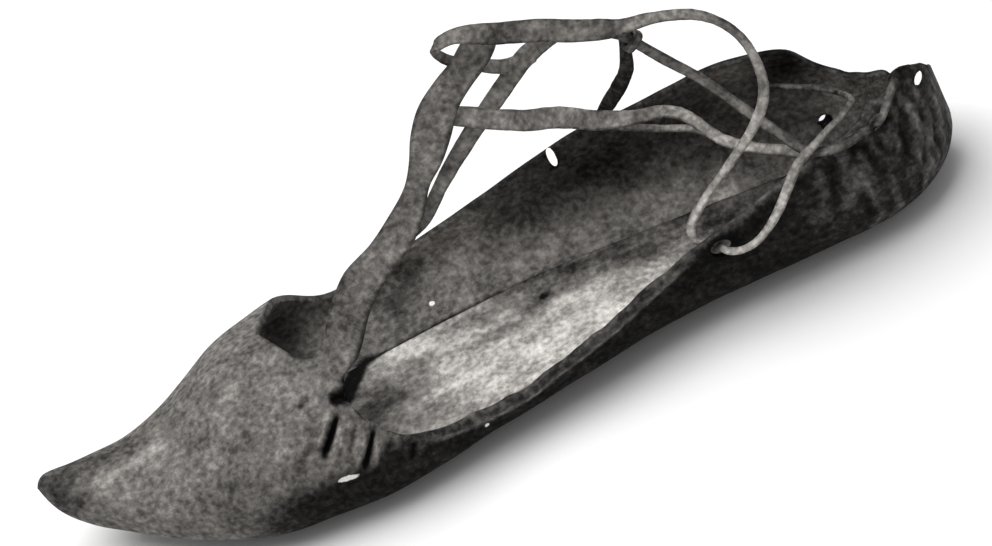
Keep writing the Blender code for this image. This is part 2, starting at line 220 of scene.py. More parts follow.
# The last, in mm as the solid has it: station, centre, near half, far half, bottom, widest height, crown
lastSettings = {
    "length": 280.0, "shift": 2.52, "square": 2.6, "seam": 72.0,
    "heelStart": 240.0, "heelRise": 248.0, "heelCurve": 16.0,
    "sections": [
        (0, -3, 0, 0, 31, 31, 31), (2.5, -3, 4.5, 4.6, 22.5, 27.5, 33),
        (10, -3, 8.8, 9, 12.5, 19.5, 31.5), (19, -4, 14, 13, 9, 17, 30), (28, -5, 19.5, 17, 6, 15, 29),
        (41, -5, 27, 22.5, 2.5, 13.5, 31.5), (51, -5, 31.5, 28, 0.5, 13, 36),
        (61, -4.5, 35, 33, -0.6, 12.5, 40), (74, -3.5, 37.5, 36.4, -0.8, 12.5, 41.5),
        (92, -3, 39.4, 39, -0.8, 12.5, 44.6), (110, -2, 38.5, 39.4, -0.4, 13, 52),
        (125, -1, 37, 37.5, 0.6, 14, 60), (155, 0, 35, 34.5, 2, 16.5, 72),
        (191, 0, 29.6, 31.5, 0.8, 18.5, 74), (220, 0, 29, 29, -0.6, 19.5, 68),
        (240, -1, 28, 26.5, -0.8, 20, 60), (260, -2, 28, 24.5, -0.8, 20, 56),
        (280, -2.5, 28, 24, -0.8, 21, 52),
    ],
}


def quarterRound(at, start, end):
    return np.sqrt(1.0 - np.clip((at - start) / (end - start), 0.0, 1.0) ** 2)


def lastSection(at):
    s = lastSettings
    table = np.array(s["sections"], dtype=float)
    form = curveThrough(table[:, 0], table[:, 1:], at)
    plan = quarterRound(at, s["heelStart"], s["length"])
    form[:, 1] *= plan
    form[:, 2] *= plan
    form[:, 3] += s["heelCurve"] * (1.0 - quarterRound(at, s["heelRise"], s["length"]))
    return form.T


def lastPoints(at, side, angle, inset=0.0):
    # -90 degrees is the middle of the sole, 0 the widest line and 90 the crown
    s = lastSettings
    centre, near, far, bottom, wide, crown = lastSection(at)
    reach = np.cos(np.radians(angle))
    lift = np.abs(np.sin(np.radians(angle)))
    half = np.maximum(np.where(side * reach > 0, far, near) - inset, 0.0)
    power = np.where(angle < 0, 2.0 / s["square"], 1.0)
    y = centre + side * np.sign(reach) * np.abs(reach) ** power * half
    low = wide - (wide - bottom - inset) * lift ** power
    high = wide + (crown - wide - inset) * lift
    z = np.maximum(np.where(angle < 0, low, high), inset)
    return np.stack((at - s["length"] / 2, y + s["shift"], z), axis=-1) * mm


def wallPoint(at, side, height):
    # place on the outer face of a wall and the direction out of it
    nudge, tip = 0.3, 1.0  # mm along and degrees up, for the two directions in the wall
    at = np.array([float(at)])
    centre, near, far, bottom, wide, crown = [column[0] for column in lastSection(at)]
    if height >= wide:
        angle = math.degrees(math.asin(min((height - wide) / (crown - wide), 1.0)))
    else:
        depth = (wide - height) / (wide - bottom)
        angle = -math.degrees(math.asin(min(depth ** (lastSettings["square"] / 2), 1.0)))
    here = lastPoints(at, side, np.array([angle]))[0]
    along = lastPoints(at + nudge, side, np.array([angle]))[0] - here
    up = lastPoints(at, side, np.array([angle + tip]))[0] - here
    out = np.cross(along, up)
    out /= np.linalg.norm(out) * (1 if out[1] * side > 0 else -1)
    return Vector(here), Vector(out)


def placedGrid(name, rows, columns):
    # a grid primitive whose points are then laid on the last, row by row
    bpy.ops.object.select_all(action="DESELECT")
    bpy.ops.mesh.primitive_grid_add(x_subdivisions=columns - 1, y_subdivisions=rows - 1, size=2.0)
    piece = bpy.context.object
    piece.name = name
    flat = readPoints(piece)
    column = np.rint((flat[:, 0] + 1.0) / 2.0 * (columns - 1)).astype(int)
    row = np.rint((flat[:, 1] + 1.0) / 2.0 * (rows - 1)).astype(int)
    return piece, row, column


def selectPoints(piece, chosen):
    piece.data.vertices.foreach_set("select", chosen)
    pairs = np.zeros(len(piece.data.edges) * 2, dtype=np.int64)
    piece.data.edges.foreach_get("vertices", pairs)
    both = chosen[pairs.reshape(-1, 2)].all(axis=1)
    piece.data.edges.foreach_set("select", both)
    piece.data.polygons.foreach_set("select", np.zeros(len(piece.data.polygons), dtype=bool))


# Hide body: one skin from the sole up to the rim, laid on the last
hideSettings = {
    "thickness": 0.0022,
    "columns": 75,
    "spacing": 2.3,  # mm between rows
    "toeStations": [0, 2.5, 7.5, 15, 25, 36, 47, 57, 66, 74.5],
    # sole station, then station and angle at the near rim and at the far rim; the throat's near
    # edge, in the first two rows, lies up to 4 mm lower than in the solid
    "openRows": [
        (81, 78.5, 92, 79, 61), (87, 82.5, 79, 82, 41), (92, 86.5, 75, 86.5, 21), (96, 88, 66, 91, 9),
        (99, 88.8, 57, 96, 3), (103, 92, 39, 102, 2), (109, 99, 21, 109, 3), (117, 109.5, 11, 118, 4.5),
        (127, 122, 5, 128, 6.4), (139, 135.5, 2, 140, 9), (152, 149.5, 3.8, 152, 12),
        (166, 164, 5.4, 166, 16.3), (180, 178.5, 8.2, 180, 20.2), (195, 195, 12.8, 195, 21.2),
        (208, 208, 16.8, 208, 24.6), (219, 219, 21.5, 219, 29.6), (228, 228, 26, 228, 34.5),
        (236, 236, 30, 237, 38), (243, 243, 34, 245, 34), (250, 250, 37, 250.5, 16.5),
        (257, 257, 44, 257, 7), (263.5, 263.5, 48, 263.5, 2.5), (269.5, 269.5, 56.5, 269.5, 3),
        (274.5, 274.5, 50.5, 274.5, -13), (278, 278, 40, 278, -2), (280, 280, 25, 280, 25),
    ],
    "pleats": ((-70, -43, 14), (-31, -17, 40)),  # corners of the part with finer faces
    "strapRoot": (12.0, 14.0),  # rows between which the instep strap grows out of the near rim
    "strapAcross": (0.9, -0.385, -0.21),
    "strapSpacing": 1.9, "strapBow": 14.0,  # mm over which the strap loses its root's curve
    "rootSteps": 4,
    "cornerPull": 0.6, "cornerReach": 5.0, "cornerSteps": 14,  # softening where the strap leaves the rim
    "weld": 0.00005, "sliver": 0.00001,
    "grainBelow": 0.3, "pleatCuts": 2, "plugSides": 28, "plugLength": 0.012,
    # station, y, z, width and how far the strap has turned from its root's line
    "strapRows": [
        (94, -14, 41, 11.5, 0.6), (102, -9.4, 49.8, 11.8, 0.9), (110.7, -5.7, 56, 13.6, 1),
        (120.2, -2.9, 59.5, 12.2, 1), (128.5, 0.2, 65.6, 9.4, 1), (133.2, 2.6, 70, 7.2, 1),
        (138.2, 4.2, 75.4, 9.6, 1), (142.5, 6, 81.8, 11.7, 1), (148, 8, 89.2, 11.7, 1),
        (155, 10, 93.8, 11.5, 1), (161.5, 12, 96.5, 11, 1), (165.5, 13, 100, 10.5, 1),
        (167.4, 13.6, 102.4, 8, 1),
    ],
    # side, station, height, half length along the wall, half height, way of a slanting cut
    "holes": [
        (-1, 203.8, 27.8, 3.2, 2.9, None), (1, 171.8, 30.6, 1.05, 4.5, (0.0, 0.707, -0.707)),
        (1, 247, 8.5, 2.1, 2.1, (-0.4, 1.3, 0.25)), (-1, 258.6, 40.8, 3.0, 2.3, None),
        (-1, 275, 40.4, 2.4, 1.5, (0.0, 0.707, -0.707)),
    ],
}


def hideRows(s):
    # fine row positions, and where each row lies
    seam = lastSettings["seam"]
    toe = [(t, t, 180.0 - seam, t, seam) for t in s["toeStations"]]
    rows = np.array(toe + s["openRows"], dtype=float)
    places = [0.0]
    for k in range(len(rows) - 1):
        span = np.abs(rows[k + 1, [0, 1, 3]] - rows[k, [0, 1, 3]]).max()
        count = max(2, round(span / s["spacing"]))
        if s["strapRoot"][0] <= k < s["strapRoot"][1]:
            count = s["rootSteps"]
        places += [k + (step + 1) / count for step in range(count)]
    places = np.array(places)
    closed = len(toe) - 1
    front = np.interp(places, np.arange(closed + 1), s["toeStations"])
    fine = curveThrough(np.arange(closed, len(rows)), rows[closed:], places)
    ahead = places <= closed
    for column, value in enumerate((front, front, 180.0 - seam, front, seam)):
        fine[ahead, column] = value[ahead] if column in (0, 1, 3) else value
    return places, fine


def growStrap(piece, s, root):
    # extrudes the near rim into the instep strap, row by row
    rows = np.array(s["strapRows"], dtype=float)
    rows[:, 0] -= lastSettings["length"] / 2
    rows[:, 1] += lastSettings["shift"]
    points = readPoints(piece)
    rim = points[root] / mm
    rootLine = (rim[-1] - rim[0]) / np.linalg.norm(rim[-1] - rim[0])
    across = np.array(s["strapAcross"]) / np.linalg.norm(s["strapAcross"])
    middle = rim[len(root) // 2]
    keys = np.vstack(([*middle, np.linalg.norm(rim[-1] - rim[0]), 0.0], rows))
    length = np.concatenate(([0.0], np.cumsum(np.linalg.norm(np.diff(keys[:, :3], axis=0), axis=1))))
    steps = np.linspace(0.0, length[-1], int(length[-1] / s["strapSpacing"]) + 1)[1:]
    line = curveThrough(length, keys, steps)
    bow = rim - rim[0] - np.linspace(0.0, 1.0, len(root))[:, None] * (rim[-1] - rim[0])
    last = root
    for place, row in zip(steps, line):
        chosen = np.zeros(len(piece.data.vertices), dtype=bool)
        chosen[last] = True
        selectPoints(piece, chosen)
        makeActive(piece)
        bpy.ops.object.mode_set(mode="EDIT")
        bpy.ops.mesh.select_mode(type="EDGE")
        bpy.ops.mesh.extrude_edges_move(TRANSFORM_OT_translate={"value": (0.0, 0.0, 0.0)})
        bpy.ops.object.mode_set(mode="OBJECT")
        points = readPoints(piece)
        fresh = np.arange(len(chosen), len(points))
        order = [fresh[np.argmin(np.linalg.norm(points[fresh] - points[k], axis=1))] for k in last]
        turned = rootLine * (1.0 - row[4]) + across * row[4]
        turned /= np.linalg.norm(turned)
        spread = np.linspace(-0.5, 0.5, len(root))[:, None] * row[3]
        points[order] = (row[:3] + turned * spread + bow * max(0.0, 1.0 - place / s["strapBow"])) * mm
        writePoints(piece, points)
        last = np.array(order)
    return len(steps)


def buildHide(s):
    places, rows = hideRows(s)
    columns = s["columns"]
    piece, row, column = placedGrid("hideBody", len(places), columns)
    step = column / (columns - 1) * 2.0 - 1.0
    share = np.abs(step)
    side = np.where(step > 0, 1.0, -1.0)
    form = rows[row]
    rim = np.where(step > 0, form[:, 3], form[:, 1])
    top = np.where(step > 0, form[:, 4], form[:, 2])
    at = form[:, 0] + (rim - form[:, 0]) * share ** 2
    writePoints(piece, lastPoints(at, side, -90.0 + (top + 90.0) * share))
    inRoot = (places[row] >= s["strapRoot"][0]) & (places[row] <= s["strapRoot"][1]) & (column == 0)
    root = np.nonzero(inRoot)[0]
    root = root[np.argsort(places[row[root]])]
    corner = readPoints(piece)[root[-1]]
    count = growStrap(piece, s, root)
    makeActive(piece)
    bpy.ops.object.mode_set(mode="EDIT")
    bpy.ops.mesh.select_all(action="SELECT")
    bpy.ops.mesh.remove_doubles(threshold=s["weld"])
    bpy.ops.mesh.dissolve_degenerate(threshold=s["sliver"])
    bpy.ops.mesh.normals_make_consistent(inside=False)
    bpy.ops.object.mode_set(mode="OBJECT")
    underBall = Vector((-0.05, 0.0, 0.0))
    sole = min(piece.data.polygons, key=lambda face: (face.center - underBall).length)
    if sole.normal.z > 0:
        piece.data.flip_normals()
    points = readPoints(piece)
    away = np.sum((points - corner) ** 2, axis=1) / (s["cornerReach"] * mm) ** 2
    loose = s["cornerPull"] * np.exp(-away)[:, None]
    for turn in range(s["cornerSteps"]):
        points += loose * (neighbourMean(piece, points) - points)
    writePoints(piece, points)
    piece.vertex_groups.new(name="fleshSide")
    piece.vertex_groups.new(name="cutEdge")
    applyModifier(piece, "SOLIDIFY", thickness=s["thickness"], offset=-1.0,
                  shell_vertex_group="fleshSide", rim_vertex_group="cutEdge")
    applyModifier(piece, "SUBSURF", levels=1, render_levels=1)
    print("hide body:", len(piece.data.polygons), "faces,", count, "strap rows")
    return piece


hide = buildHide(hideSettings)


def refinePleats(piece, s):
    # finer faces on the grain side where the pleats lie
    outer = readGroup(piece, "fleshSide") < s["grainBelow"]
    points = readPoints(piece) / mm
    low, high = s["pleats"]
    inside = outer & (points > np.array(low)).all(axis=1) & (points < np.array(high)).all(axis=1)
    chosen = np.array([inside[list(face.vertices)].all() for face in piece.data.polygons])
    selectPoints(piece, np.zeros(len(points), dtype=bool))
    piece.data.polygons.foreach_set("select", chosen)
    makeActive(piece)
    bpy.ops.object.mode_set(mode="EDIT")
    bpy.ops.mesh.select_mode(type="FACE")
    bpy.ops.mesh.subdivide(number_cuts=s["pleatCuts"], smoothness=1.0)
    bpy.ops.object.mode_set(mode="OBJECT")
    print("pleats:", int(chosen.sum()), "faces refined to", len(piece.data.polygons))


refinePleats(hide, hideSettings)


def punchHoles(piece, s):
    # oval plugs across the wall, joined and cut out in one go
    plugs = []
    for side, station, height, along, up, way in s["holes"]:
        here, out = wallPoint(station, side, height)
        way = Vector(way) / Vector(way).dot(out) if way else out
        upward = (Vector((0, 0, 1)) - out * out.z).normalized()
        bpy.ops.object.select_all(action="DESELECT")
        bpy.ops.mesh.primitive_cylinder_add(vertices=s["plugSides"], radius=1.0, depth=s["plugLength"])
        plug = bpy.context.object
        turn = Matrix((upward.cross(out) * along * mm, upward * up * mm, way)).transposed().to_4x4()
        plug.data.transform(Matrix.Translation(here - out * s["thickness"] / 2) @ turn)
        plugs.append(plug)
    makeActive(plugs[0])
    for plug in plugs:
        plug.select_set(True)
    bpy.ops.object.join()
    cutter = bpy.context.object
    bpy.ops.object.mode_set(mode="EDIT")
    bpy.ops.mesh.select_all(action="SELECT")
    bpy.ops.mesh.normals_make_consistent(inside=False)
    bpy.ops.object.mode_set(mode="OBJECT")
    applyModifier(piece, "BOOLEAN", operation="DIFFERENCE", solver="EXACT", object=cutter)
    bpy.data.objects.remove(cutter, do_unlink=True)


punchHoles(hide, hideSettings)
print("holes cut:", len(hideSettings["holes"]), "->", len(hide.data.polygons), "faces")

# Creases of the hide, listed in mm on its outer face
creaseSettings = {
    "shoulder": 0.3, "shoulderAt": 2.2,  # swelling beside a trough, and its place in half widths
    "outSteps": 4, "lineReach": (4.0, 3.0), "taperIn": (-0.05, 0.2), "taperOut": (1.05, 0.7),
    "wave": 0.38, "waveSize": 21.0, "ripple": 0.4, "rippleSize": 8.4, "waveAbove": (2.0, 9.0),
    "rimFrom": 10.0, "rimStep": 3,  # the near rim's line: its first row, then each third one
    "lip": 0.9, "lipReach": 2.4, "lipUneven": 0.35, "lipSize": 7.0,
    "lipIn": (-50.0, -40.0), "lipOut": (50.0, 38.0),
    "torn": 0.9, "tornFine": 0.35, "tornSize": 2.4, "tornWide": 6.24, "tornReach": 2.0,
    "tabTorn": 2.2, "tabIn": (112.0, 124.0), "rimTorn": 2.4, "rimIn": (-30.0, -18.0),
    "rimOut": (60.0, 50.0),
    # depth with a ridge below zero, half width, then the line's points
    "lines": [
        (1.5, 1.3, [(-54.4, -23.6, 36.8), (-52.6, -24.3, 37.0), (-50.2, -24.9, 37.0),
                    (-48.4, -25.8, 36.5)]),
        (1.6, 0.9, [(-53.6, -27.4, 34.8), (-56.4, -29.8, 32.6), (-60.2, -32.4, 29.3),
                    (-63.6, -34.2, 26.4)]),
        (-0.9, 1.0, [(-54.0, -30.8, 32.4), (-56.7, -33.2, 29.8), (-59.8, -35.0, 27.4),
                     (-62.6, -35.9, 24.5)]),
        (1.2, 0.8, [(-46.0, -33.8, 29.8), (-48.4, -35.6, 26.9), (-51.0, -37.2, 23.8),
                    (-54.6, -38.6, 19.6)]),
        (-0.6, 0.9, [(-45.6, -35.4, 27.4), (-48.6, -37.4, 23.4), (-51.4, -38.8, 19.4)]),
        (0.7, 0.8, [(-37.4, -37.6, 22.4), (-38.6, -38.5, 20.0), (-40.6, -39.3, 15.8)]),
        (0.4, 0.9, [(-33.4, -38.0, 19.0), (-36.8, -39.0, 14.9)]),
        (0.6, 0.8, [(-49.6, -31.0, 32.4), (-52.8, -33.6, 29.0), (-56.6, -36.4, 24.6)]),
        (0.5, 0.7, [(-42.4, -35.8, 26.2), (-45.4, -37.6, 22.4)]),
        (0.7, 0.9, [(-63.8, -21.5, 37.0), (-60.8, -20.8, 37.8), (-58.6, -20.8, 38.1)]),
        (-0.45, 1.2, [(-75.0, -29.8, 30.0), (-71.8, -28.4, 31.7), (-68.9, -26.7, 33.3)]),
        (0.35, 1.3, [(-76.0, -20.9, 36.1), (-73.1, -17.6, 37.9)]),
        (0.4, 1.6, [(-75.4, -11.6, 39.5), (-66.5, -8.4, 40.9), (-57.3, -10.0, 41.8)]),
        (0.35, 1.6, [(-84.2, -12.8, 36.8), (-76.3, -8.9, 39.9), (-68.3, -6.4, 40.9)]),
        (0.5, 0.9, [(-70.0, -33.5, 26.4), (-65.8, -31.4, 29.5), (-62.6, -29.2, 32.1)]),
        (-0.4, 2.6, [(-130.0, -6.4, 28.6), (-123.4, -7.4, 28.7), (-116.1, -6.1, 28.9),
                     (-107.4, -4.6, 29.5), (-99.7, -6.0, 31.2)]),
        (0.5, 1.6, [(-124.8, -5.0, 29.9), (-128.0, -7.3, 28.1), (-131.3, -8.1, 24.9),
                    (-133.3, -7.6, 21.6)]),
        (0.8, 1.4, [(134.5, -12.6, 34.9), (134.5, -13.5, 28.8), (133.1, -15.5, 23.0),
                    (129.5, -18.5, 16.9)]),
        (0.7, 1.4, [(131.1, -15.3, 36.2), (130.5, -17.2, 29.3), (128.2, -19.6, 22.3),
                    (123.8, -21.9, 15.3)]),
        (0.6, 1.5, [(115.3, -22.1, 37.4), (114.9, -24.1, 31.0), (114.4, -25.2, 24.6)]),
        (0.5, 1.5, [(109.1, -21.7, 41.0), (107.6, -24.0, 35.6), (105.9, -25.7, 28.9)]),
        (0.6, 1.4, [(112.9, -21.5, 40.1), (111.5, -24.2, 33.3), (109.2, -25.9, 25.7)]),
        (0.7, 1.5, [(125.3, -17.9, 39.0), (123.7, -21.1, 31.0), (120.1, -23.7, 22.0)]),
        (0.5, 1.6, [(101.6, -23.8, 37.2), (99.8, -25.8, 29.5), (97.1, -26.4, 23.2)]),
        (0.5, 1.7, [(93.6, -25.1, 32.9), (91.5, -26.3, 25.0)]),
        (0.6, 1.6, [(131.0, 12.5, 26.0), (129.0, 15.0, 19.0), (124.0, 18.0, 13.0)]),
        (0.5, 1.6, [(118.0, 20.0, 24.0), (115.5, 21.5, 17.0)]),
        (0.5, 1.8, [(96.0, 25.5, 36.0), (93.0, 27.5, 27.0), (90.0, 28.0, 18.0)]),
    ],
}


def sculptHide(piece, s, flesh):
    # the sheet moves as a whole, so both its faces follow each crease
    points = readPoints(piece) / mm
    own = readNormals(piece)
    out = soften(piece, own * (1.0 - 2.0 * flesh)[:, None], s["outSteps"])
    out /= np.maximum(np.linalg.norm(out, axis=1), 1e-9)[:, None]
    lift = np.zeros(len(points))
    widths, margin = s["lineReach"]
    for depth, width, line in s["lines"]:
        reach = widths * width + margin
        inside = (points > np.min(line, axis=0) - reach) & (points < np.max(line, axis=0) + reach)
        close = np.nonzero(inside.all(axis=1))[0]
        gap, share = lineDistance(points[close], line, out[close])
        taper = ease(share, *s["taperIn"]) * ease(share, *s["taperOut"])
        trough = np.exp(-(gap / width) ** 2)
        shoulder = np.exp(-((gap - s["shoulderAt"] * width) / width) ** 2)
        lift[close] += depth * taper * (s["shoulder"] * shoulder - trough)
    wave = noiseAt(points, s["waveSize"], seed=2)
    wave += s["ripple"] * noiseAt(points, s["rippleSize"], seed=5)
    places, rows = hideRows(hideSettings)
    rim = lastPoints(rows[:, 1], np.full(len(rows), -1.0), rows[:, 2]) / mm
    rim = rim[places > s["rimFrom"]][::s["rimStep"]]
    gap, share = lineDistance(points, rim)
    x = points[:, 0]
    swell = np.exp(-(gap / s["lipReach"]) ** 2) * ease(x, *s["lipIn"])
    uneven = s["lipUneven"] * noiseAt(points, s["lipSize"], seed=4)
    swell *= s["lip"] * ease(x, *s["lipOut"]) * (1.0 + uneven)
    rise = lift + s["wave"] * wave * ease(points[:, 2], *s["waveAbove"])
    torn = s["tornFine"] * noiseAt(points, s["tornSize"], seed=12)
    torn += noiseAt(points, s["tornWide"], seed=13)
    torn *= s["torn"] * np.exp(-(gap / s["tornReach"]) ** 2)
    torn *= np.maximum(s["tabTorn"] * ease(x, *s["tabIn"]),
                       s["rimTorn"] * ease(x, *s["rimIn"]) * ease(x, *s["rimOut"]))
    points[:, 2] += torn
    writePoints(piece, (points + out * rise[:, None] + own * swell[:, None]) * mm)
    return lift, gap


fleshShare = readGroup(hide, "fleshSide")
creaseLift, rimGap = sculptHide(hide, creaseSettings, fleshShare)
print("creases:", len(creaseSettings["lines"]))

# Insole: the pale footbed, on the same last
insoleSettings = {
    "thickness": 0.0016, "inset": 2.8, "front": 52.0, "back": 264.0, "round": 30.0,
    "near": 0.8, "far": 0.45, "leastShare": 0.12, "rows": 120, "columns": 41,
    "wave": 0.25, "waveSize": 12.0, "waveLift": 0.3, "topAbove": 0.3,
    "tone": 0.68, "streak": 0.2, "streakSize": (13.0, 5.0), "edge": (3, 0.02, 0.12),
    "backShade": 0.4, "backSide": (-5.0, 15.5), "backFrom": (-26.0, 14.0),
    "seam": (101.0, 160.0), "seamShift": (0.0, 0.9, 0.5), "seamPoints": 20, "seamDepth": 0.8,
    "seamWide": 2.6, "seamNarrow": 1.2, "seamThins": (0.2, 0.34), "seamFades": (1.0, 0.55),
    # the slit beside the strap's root, where a painted shadow starts the dark line along the floor's far
    # edge
    "slit": [
        (-53.0, 4.6, 4.6), (-49.6, 8.6, 4.4), (-47.2, 11.4, 4.4), (-44.8, 14.4, 4.3), (-42.2, 17.2, 3.4),
    ],
    "spots": [
        # the spot at 64 mm is painted shade on the floor seen through the near wall's lace hole
        ((-42, -4, 5), (16, 15, 8), -0.36), ((64, -3, 5), (9, 8, 8), -0.42),
        ((100, 0, 5), (24, 18, 9), -0.22), ((-20, -8, 5), (12, 7, 6), 0.05),
        ((22, -13, 7), (18, 6, 6), 0.06), ((12.9, 8, 6.4), (1.0, 1.0, 3), -0.5),
        ((-4, 2, 6), (5, 3, 5), -0.1), ((22, -3, 6), (9, 4, 5), 0.08), ((-28, 3, 5), (7, 3, 5), -0.08),
    ],
}


def softSpot(points, middle, reach):
    return np.exp(-np.sum(((points - np.array(middle)) / np.array(reach)) ** 2, axis=1))


def insolePoints(s, at, step):
    # step runs from -1 at the near edge to 1 at the far edge
    front = quarterRound(s["front"] + s["round"] - at, 0.0, s["round"])
    back = quarterRound(at, s["back"] - s["round"], s["back"])
    share = np.maximum(front * back, s["leastShare"])
    reach = share * np.where(step > 0, s["far"], s["near"]) * np.abs(step)
    angle = -np.degrees(np.arccos(reach ** (lastSettings["square"] / 2.0)))
    return lastPoints(at, np.where(step > 0, 1.0, -1.0), angle, s["inset"])


def farEdge(s):
    at = np.linspace(*s["seam"], s["seamPoints"])
    edge = insolePoints(s, at, np.ones(len(at))) / mm + np.array(s["seamShift"])
    return np.vstack((s["slit"], edge))


def seamShade(points, s):
    # painted shade: the dark line in the crevice where the floor meets the far wall, broad in the shadow
    # at the strap's root
    gap, share = lineDistance(points, farEdge(s))
    width = s["seamWide"] - s["seamNarrow"] * ease(share, *s["seamThins"])
    return np.exp(-(gap / width) ** 4) * ease(share, *s["seamFades"])


def buildInsole(s):
    piece, row, column = placedGrid("insolePiece", s["rows"], s["columns"])
    swing = row / (s["rows"] - 1)
    at = s["front"] + (s["back"] - s["front"]) * (0.5 - 0.5 * np.cos(np.pi * swing))
    writePoints(piece, insolePoints(s, at, column / (s["columns"] - 1) * 2.0 - 1.0))
    if piece.data.polygons[len(piece.data.polygons) // 2].normal.z > 0:
        piece.data.flip_normals()
    applyModifier(piece, "SOLIDIFY", thickness=s["thickness"], offset=-1.0)
    applyModifier(piece, "SUBSURF", levels=1, render_levels=1)
    points = readPoints(piece) / mm
    x, y, z = points.T
    top = readNormals(piece)[:, 2] > s["topAbove"]
    wave = np.clip(noiseAt(points, s["waveSize"], seed=6) + s["waveLift"], 0.0, 1.0)
    points[:, 2] += s["wave"] * wave * top
    writePoints(piece, points * mm)
    long, wide = s["streakSize"]
    streak = np.array([noise.noise(Vector((a / long, b / wide, 2.0))) for a, b, c in points])
    tone = s["tone"] - s["backShade"] * ease(y, *s["backSide"]) * ease(x, *s["backFrom"])
    tone += s["streak"] * streak
    for middle, reach, change in s["spots"]:
        tone += change * softSpot(points, middle, reach)
    # painted shade along the floor's far edge and in the slit
    tone -= s["seamDepth"] * seamShade(points, s)
    storeMask(piece, "tone", tone)
    storeMask(piece, "edge", findEdges(piece, *s["edge"]))
    print("insole:", len(piece.data.polygons), "faces")
    return piece


insole = buildInsole(insoleSettings)

# Tones of the hide, 0 black to 1 white: grain side, flesh side, then lighter and darker spots, some of
# them painted light and shade
hideTones = {
    # the near wall's dark tone is painted shade, and the throat's paler tone is painted light
    "vamp": 0.4, "paintedWallShade": 0.05, "heel": 0.17, "under": 0.1, "flesh": 0.33, "throat": 0.46,
    # the lip's paler tone is painted light
    "lip": 0.39, "rim": 0.46, "strapRoot": 0.4, "strap": 0.44, "edge": (3, 0.02, 0.12),
    # how far each tone takes over, and the places in mm between which it comes in
    "wallDepth": 0.95, "wallSlant": 0.7, "wallIn": (-65.5, -43.5), "wallSide": (16.0, -6.0),
    "lowDepth": 0.9, "lowSlant": 0.15, "lowUnder": (35.25, 26.25), "lowIn": (-100.0, -70.0),
    "lowSide": (-20.0, -32.0), "underBelow": (7.0, 2.0),
    "heelIn": (78.0, 112.0), "farIn": (-40.0, 0.0), "farSide": (-6.0, 10.0),
    "streak": 0.24, "streakSize": (2.6, 6.0, 20.0), "streakLimits": (-0.35, 0.9),
    # painted shade: the dark line at the floor's edge and the crease troughs; painted light: the crease
    # ridges
    "throatIn": (-34.0, -52.0), "seamDepth": 0.4, "ridge": 0.28, "trough": 0.24,
    "deepest": 1.8, "troughPower": 1.5, "tallest": 0.9, "fleshFade": 0.5,
    "lipGap": (3.6, 2.2), "lipIn": (-42.0, -24.0), "lipOut": (62.0, 46.0),
    "rimIn": (44.0, 60.0), "rimOut": (132.0, 118.0), "rimWidth": 1.7,
    "liningGap": 6.8, "liningWidth": 1.2, "lining": 0.8,  # a paler line inside the heel's rim
    # painted shade: a dark line on the flesh side just inside the rim
    "grooveGap": 4.2, "grooveWidth": 1.1, "grooveShade": 0.25, "grooveIn": (52.0, 62.0),
    "grooveOut": (108.0, 92.0),
    "strapReach": (10.0, 7.5), "strapAbove": (40.0, 46.0), "strapPales": (0.15, 0.5),
    # face with 0 the grain and 1 the flesh, middle and reach in mm, change of tone
    "spots": [
        # painted light and shade among these spots: a highlight on the toe's near slope and shade on its
        # far facet and tip; shadow on both faces at the strap's root and in the near lace hole; light on
        # the upper inside of the far wall and on the near lip; shade in the throat's front corner
        (0, (-116, -12, 26.5), (14, 7, 7), 0.07), (0, (-128, 3, 26), (16, 7, 10), -0.12),
        (0, (-136, -3, 28), (6, 8, 10), -0.14), (0, (-100, 12, 30), (14, 12, 8), -0.05),
        (0, (-70, -15, 38), (14, 9, 8), 0.04), (0, (-51, -24.5, 37), (3.4, 2.6, 3), -0.4),
        (1, (-51, -24.5, 36), (3.4, 2.6, 3), -0.4), (0, (-48, -21.6, 37.4), (1.8, 3.4, 2), -0.4),
        (1, (-48, -21.6, 37), (2.2, 3.4, 2.4), -0.4), (1, (-19, 35, 9), (5, 4, 4), -0.12),
        (1, (-28, 31.5, 6), (5, 5, 4), -0.12), (0, (63.6, -26.6, 28), (3.8, 3.6, 3.6), -0.5),
        (1, (63.6, -26.6, 28), (3.8, 3.6, 3.6), -0.5), (0, (-72, -28, 31), (5, 4, 4), 0.07),
        (0, (-92, -28, 16), (16, 9, 8), -0.04), (1, (43, 32.5, 22), (13, 8, 7), -0.12),
        (1, (57, 31, 24), (12, 8, 7), -0.06), (1, (101, 23.5, 35), (6, 6, 9), -0.2),
        (1, (87, 25.5, 38), (8, 6, 8), 0.22), (1, (-6, 36, 16), (17, 7, 10), 0.26),
        (1, (-60, 34.5, 14), (5, 5, 7), -0.2), (1, (50, 24, 6), (26, 8, 5), 0.14),
        (1, (14, 24, 6), (16, 6, 4), 0.07), (1, (74, 17, 3), (6, 4, 4), 0.26),
        (1, (66, 19, 4), (10, 5, 4), 0.1), (1, (-10, 28, 8), (10, 9, 6), 0.05),
        (1, (8, 34, 18), (5, 5, 5), -0.07), (1, (20, 33, 12), (4, 4, 4), -0.06),
        (1, (112, 20, 17), (17, 9, 11), 0.24), (1, (122, 6, 12), (12, 12, 10), -0.06),
        (0, (129, -17, 29), (10, 9, 14), 0.09), (0, (114, -20, 44), (9, 6, 6), 0.08),
        (0, (93, -26, 24), (7, 5, 8), 0.09), (0, (-22, -33.5, 15), (6, 3, 3), 0.13),
    ],
}


